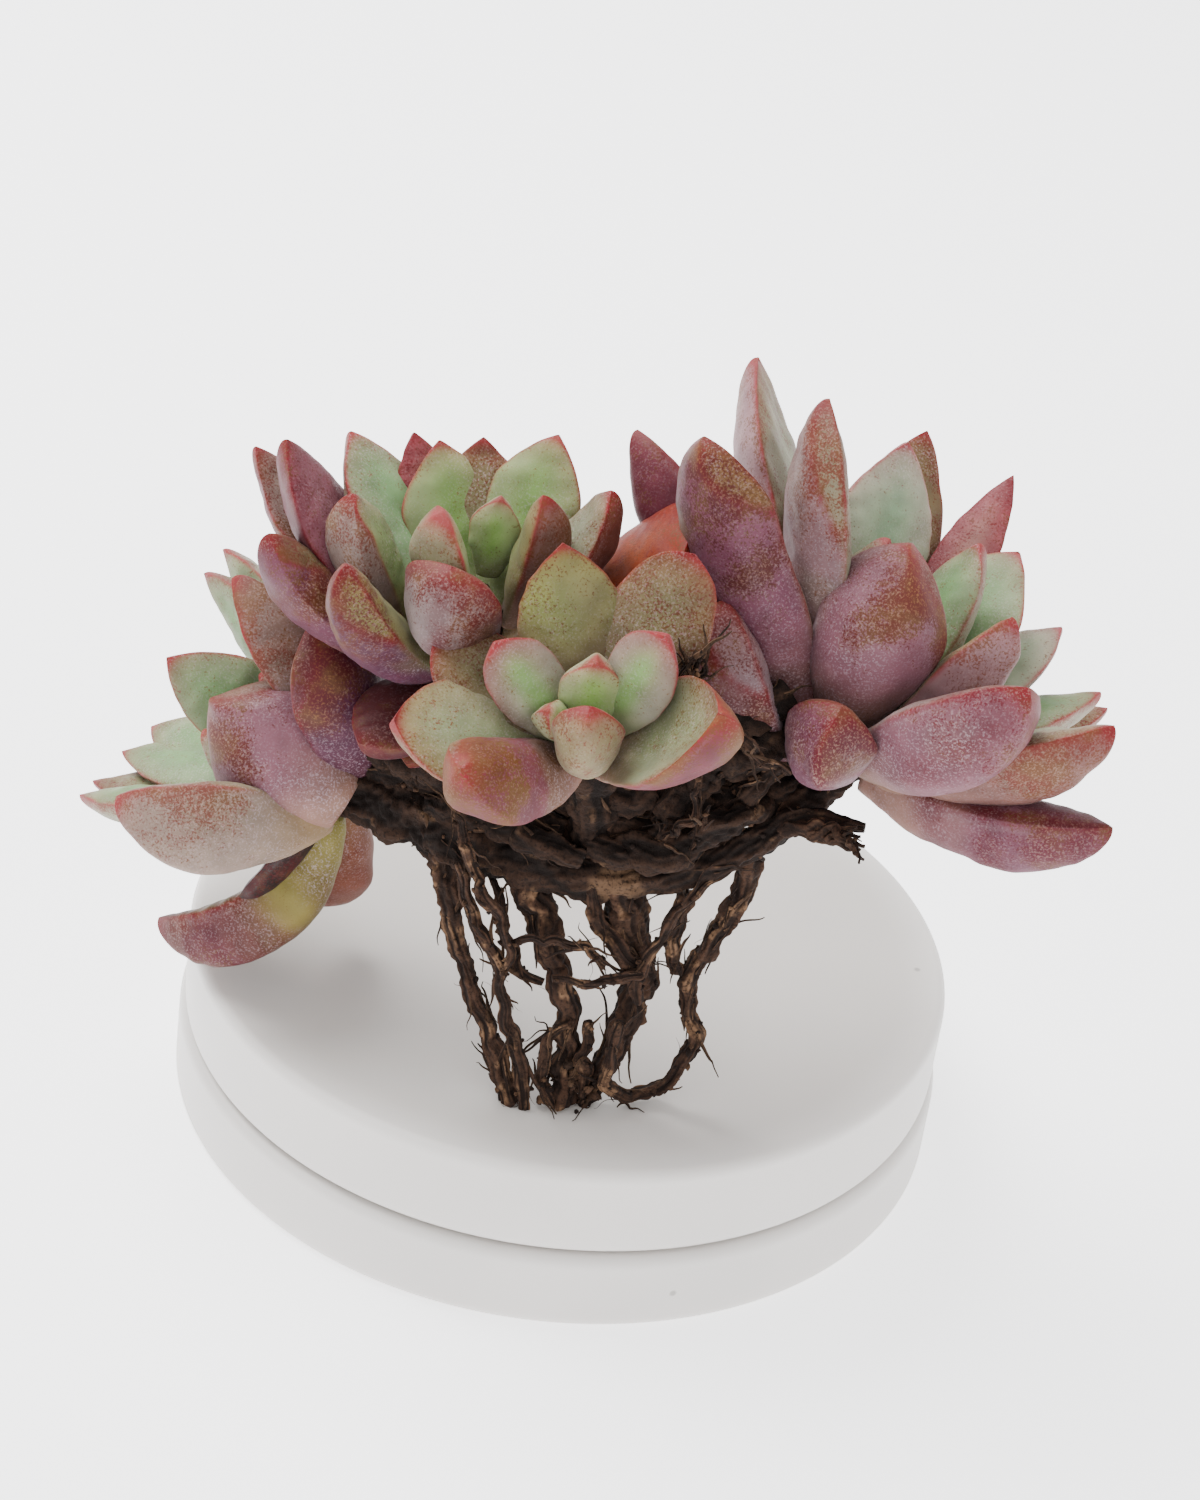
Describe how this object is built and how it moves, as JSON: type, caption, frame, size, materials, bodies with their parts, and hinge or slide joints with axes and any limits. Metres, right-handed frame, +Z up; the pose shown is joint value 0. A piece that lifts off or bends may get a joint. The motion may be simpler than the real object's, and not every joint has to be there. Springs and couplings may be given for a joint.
{
  "type": "rosette succulent on a stand",
  "caption": "Bare-rooted cluster of fleshy succulent rosettes on a woody stem, standing on its root tips on a round frosted stand.",
  "frame": {"origin": "centre of the stand's flat foot", "axes": "+Z up the stand's axis; -Y is the plant's front, where the roots stand, and +X its right"},
  "size_m": [0.0995, 0.08, 0.0849],
  "materials": {
    "leaf_sage": "powdery waxy bloom, satin",
    "leaf_green": "powdery waxy bloom, satin",
    "leaf_mauve": "powdery waxy bloom with fine rust speckle",
    "leaf_pink": "powdery waxy bloom, satin",
    "leaf_rust": "powdery waxy bloom with dense rust speckle",
    "leaf_crimson": "waxy, satin",
    "leaf_orange": "waxy, satin",
    "bark": "rough fibrous bark, matte",
    "root_bark": "dry fibrous root, matte",
    "frosted_plastic": "frosted translucent, satin"
  },
  "bodies": {
    "root": {"leaf_left_01": "leaf_mauve", "leaf_left_02": "leaf_rust", "leaf_left_03": "leaf_mauve", "leaf_left_04": "leaf_mauve", "leaf_left_05": "leaf_mauve", "leaf_left_06": "leaf_pink", "leaf_left_07": "leaf_sage", "leaf_left_08": "leaf_sage", "leaf_left_09": "leaf_sage", "leaf_left_10": "leaf_sage", "leaf_top_01": "leaf_mauve", "leaf_top_02": "leaf_rust", "leaf_top_03": "leaf_mauve", "leaf_top_04": "leaf_green", "leaf_top_05": "leaf_sage", "leaf_top_06": "leaf_sage", "leaf_top_07": "leaf_sage", "leaf_top_08": "leaf_rust", "leaf_top_09": "leaf_mauve", "leaf_top_10": "leaf_mauve", "leaf_top_11": "leaf_sage", "leaf_top_12": "leaf_orange", "leaf_front_01": "leaf_sage", "leaf_front_02": "leaf_green", "leaf_front_03": "leaf_pink", "leaf_front_04": "leaf_pink", "leaf_front_05": "leaf_sage", "leaf_front_06": "leaf_green", "leaf_front_07": "leaf_sage", "leaf_front_08": "leaf_sage", "leaf_right_01": "leaf_mauve", "leaf_right_02": "leaf_mauve", "leaf_right_03": "leaf_sage", "leaf_right_04": "leaf_mauve", "leaf_right_05": "leaf_mauve", "leaf_right_06": "leaf_mauve", "leaf_right_07": "leaf_rust", "leaf_right_08": "leaf_pink", "leaf_right_09": "leaf_rust", "leaf_right_10": "leaf_sage", "leaf_right_11": "leaf_sage", "leaf_right_12": "leaf_pink", "leaf_right_13": "leaf_pink", "leaf_right_14": "leaf_pink", "leaf_right_15": "leaf_sage", "leaf_right_16": "leaf_crimson", "stem_left": "bark", "stem_top": "bark", "stem_front": "bark", "stem_right": "bark", "woody_stem": "bark", "root_left": "root_bark", "root_left_fine": "root_bark", "root_middle": "root_bark", "root_right": "root_bark", "root_loop": "root_bark", "root_inner": "root_bark", "stand_base": "frosted_plastic", "stand_top": "frosted_plastic"}
  },
  "joints": []
}
